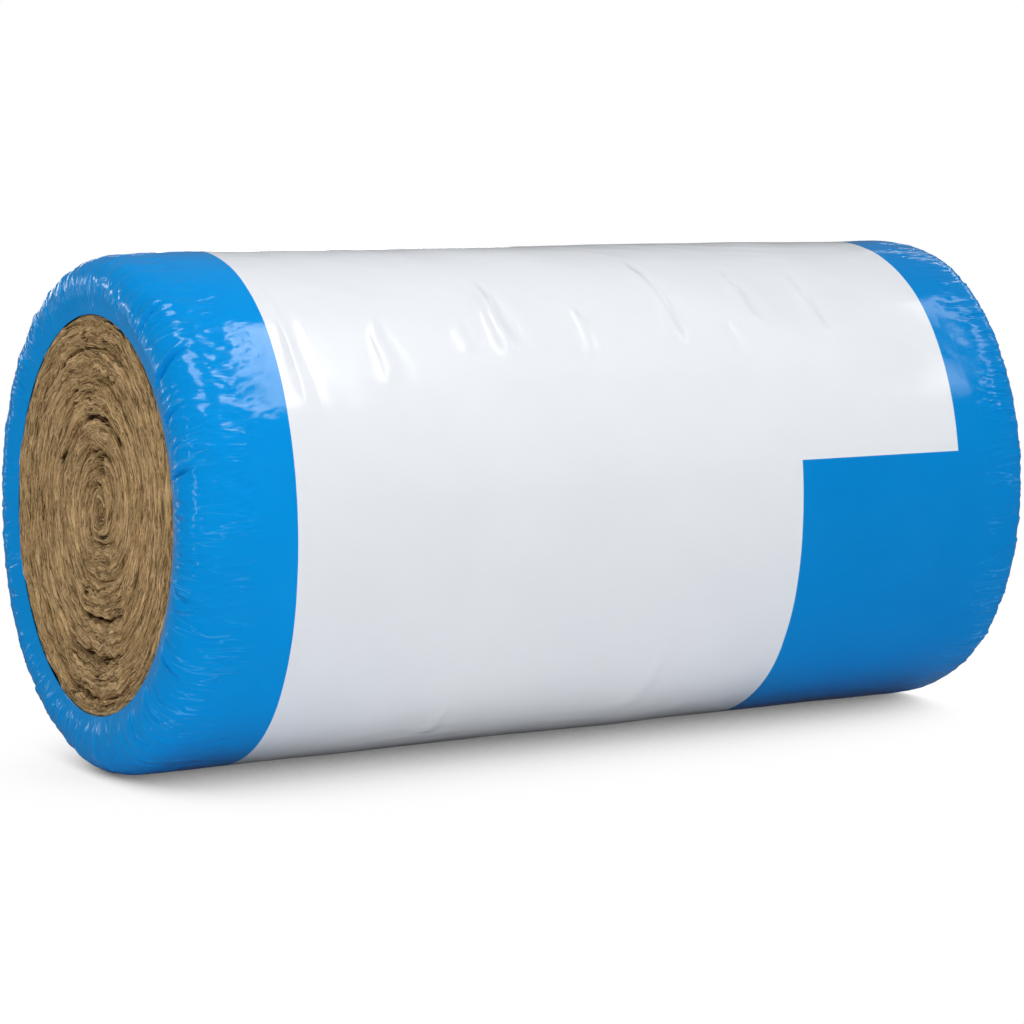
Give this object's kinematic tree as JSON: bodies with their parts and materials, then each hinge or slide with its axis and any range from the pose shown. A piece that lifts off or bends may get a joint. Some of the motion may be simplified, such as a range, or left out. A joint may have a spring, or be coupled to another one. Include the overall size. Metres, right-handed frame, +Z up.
{
  "type": "insulation roll",
  "caption": "Wound mineral wool insulation mat in a glossy printed film sleeve that turns in over rounded shoulders and leaves a round window on each end.",
  "frame": {"origin": "on the floor, under the middle of the roll as it lies on its side", "axes": "+X along the roll's axis towards the right end, +Y away from the printed front, +Z up"},
  "size_m": [1.2, 0.6298, 0.63],
  "materials": {
    "mineral_wool": "matted fibres in wound layers",
    "printed_film": "glossy thin film with printed bands"
  },
  "bodies": {
    "root": {"wool_roll": "mineral_wool", "film_sleeve": "printed_film"}
  },
  "joints": []
}
